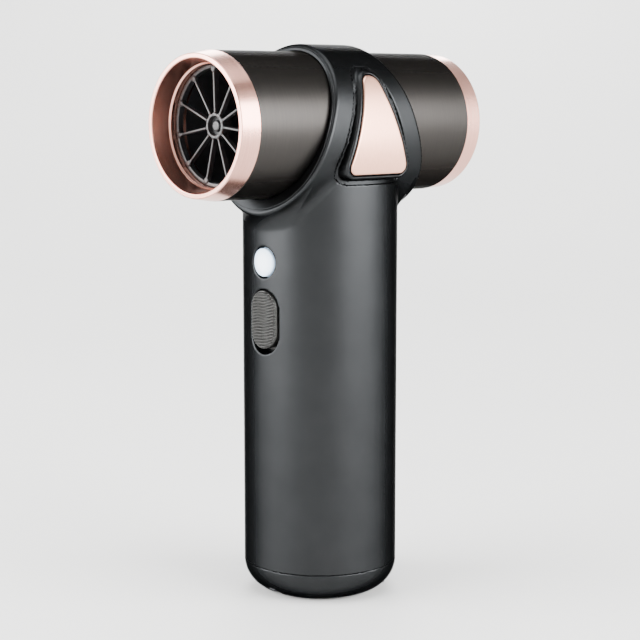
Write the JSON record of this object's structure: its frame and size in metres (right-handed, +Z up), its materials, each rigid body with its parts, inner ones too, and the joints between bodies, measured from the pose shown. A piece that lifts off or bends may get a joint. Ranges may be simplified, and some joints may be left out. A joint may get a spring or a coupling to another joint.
{
  "type": "car dryer blower",
  "caption": "Hand-held blower: a straight fan barrel, open at both ends, held across the top of a round battery handle by a flared collar with side trim plates.",
  "frame": {"origin": "centre of the base's underside, on the handle's axis", "axes": "+Z up along the handle, +Y along the barrel towards the intake, -Y the outlet and the side with the controls, +X to the right of the outlet as seen from the outlet side"},
  "size_m": [0.0434, 0.0842, 0.1419],
  "materials": {
    "gunmetal": "satin bead-blasted anodised",
    "gunmetal_barrel": "satin bead-blasted anodised",
    "rose_gold": "satin anodised",
    "black_plastic": "moulded, matt",
    "fan_black": "moulded, semi-gloss",
    "lens": "frosted, lit from behind",
    "bright_aluminium": "turned, polished",
    "steel": "ground",
    "dark_steel": "black oxide",
    "lamination": "stacked laminations",
    "copper": "enamelled wire",
    "nickel": "nickel plated",
    "rubber": "moulded silicone",
    "board": "solder mask",
    "cell_wrap": "shrink wrap on a cell, at a cell's density",
    "lead_red": "insulated wire",
    "lead_black": "insulated wire",
    "slider_grey": "painted, satin"
  },
  "bodies": {
    "housing": {"body_shell": "gunmetal", "base_cap": "gunmetal", "base_screws": "dark_steel", "barrel": "gunmetal_barrel", "outlet_ring": "rose_gold", "intake_ring": "rose_gold", "outlet_grille": "black_plastic", "trim_left": "rose_gold", "trim_right": "rose_gold", "collar_screws": "dark_steel", "fan_duct": "black_plastic", "damper_rings": "rubber", "motor_can": "bright_aluminium", "motor_nose": "bright_aluminium", "stator_core": "lamination", "stator_windings": "copper", "bearing_intake": "steel", "bearing_outlet": "steel", "tail_cone": "black_plastic", "control_carrier": "black_plastic", "control_board": "board", "button_switch": "steel", "slide_switch": "steel", "status_leds": "lens", "driver_board": "board", "driver_parts": "black_plastic", "board_header": "copper", "inner_chassis": "black_plastic", "battery_cells": "cell_wrap", "cell_caps": "black_plastic", "cell_tabs": "nickel", "charge_board": "board", "charge_port": "nickel", "motor_leads": "lead_red", "battery_leads": "lead_red", "charge_leads": "lead_black"},
    "fan": {"impeller": "fan_black", "nose_cap": "fan_black", "motor_shaft": "steel", "rotor_magnet": "nickel"},
    "button": {"power_button": "lens"},
    "slider": {"speed_slider": "slider_grey", "switch_lever": "lens"}
  },
  "joints": [
    {"name": "fan_spin", "type": "hinge", "parent": "housing", "child": "fan", "pos_m": [0, 0, 0.1218], "axis": [0, 1, 0], "continuous": true},
    {"name": "button_press", "type": "slide", "parent": "housing", "child": "button", "axis": [0, 1, 0], "range_m": [0, 0.0004], "stiffness_N_per_m": 800, "springref_m": -0.0005},
    {"name": "speed_slide", "type": "slide", "parent": "housing", "child": "slider", "axis": [0, 0, 1], "range_m": [-0.0012, 0]}
  ]
}
